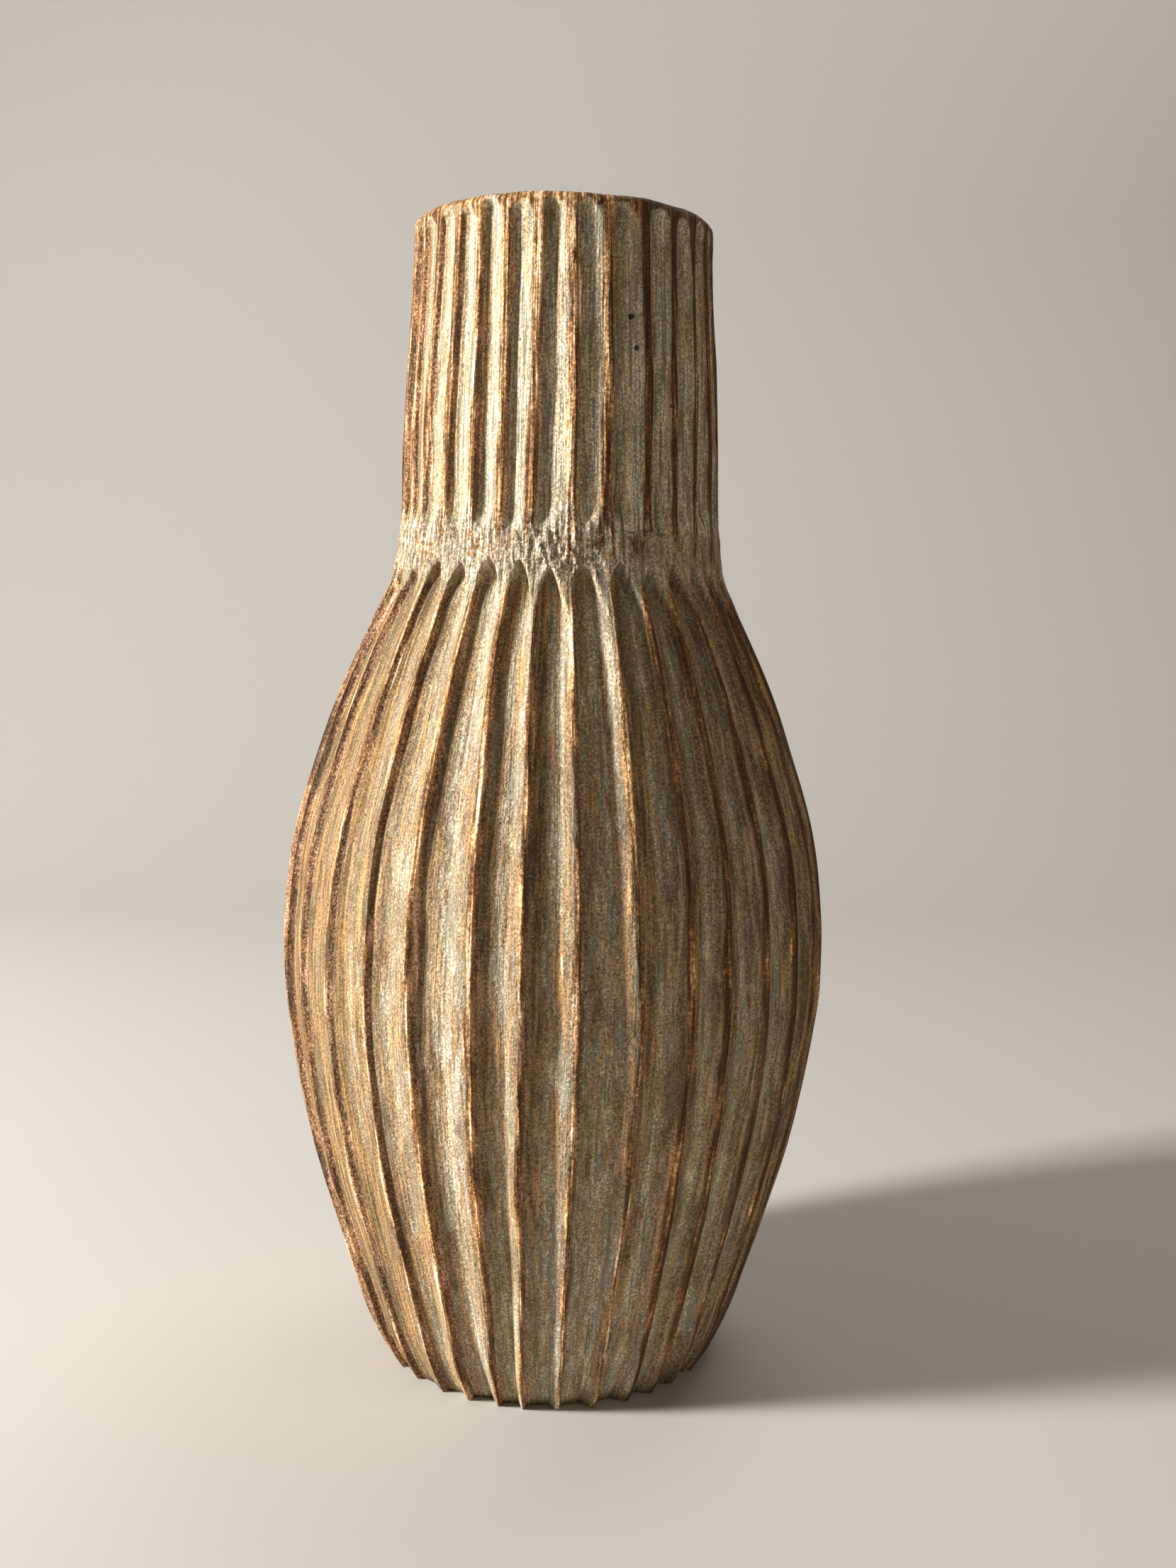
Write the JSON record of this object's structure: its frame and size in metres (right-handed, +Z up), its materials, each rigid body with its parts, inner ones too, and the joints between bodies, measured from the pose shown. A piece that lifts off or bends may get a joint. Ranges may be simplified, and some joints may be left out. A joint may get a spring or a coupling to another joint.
{
  "type": "vase",
  "caption": "Tall stoneware vase with a fluted belly, a rough collar of torn clay and a fluted neck that ends in a smooth bevelled lip.",
  "frame": {"origin": "centre of the foot, on the plane that the vase stands on", "axes": "+Z up along the turning axis, towards the mouth; -Y is the side that faces the viewer"},
  "size_m": [0.1744, 0.1743, 0.36],
  "materials": {
    "floor_clay": "bare unglazed stoneware, matte",
    "belly_clay": "dry cream slip over iron-brown stoneware, worn through on the ribs",
    "collar_clay": "torn and scratched clay under dry cream slip",
    "neck_clay": "dry cream slip over iron-brown stoneware, worn through on the ribs",
    "lip_clay": "smooth iron-brown stoneware, low sheen"
  },
  "bodies": {
    "root": {"base_slab": "floor_clay", "body_wall": "belly_clay", "collar_coil": "collar_clay", "neck_wall": "neck_clay", "lip_ring": "lip_clay"}
  },
  "joints": []
}
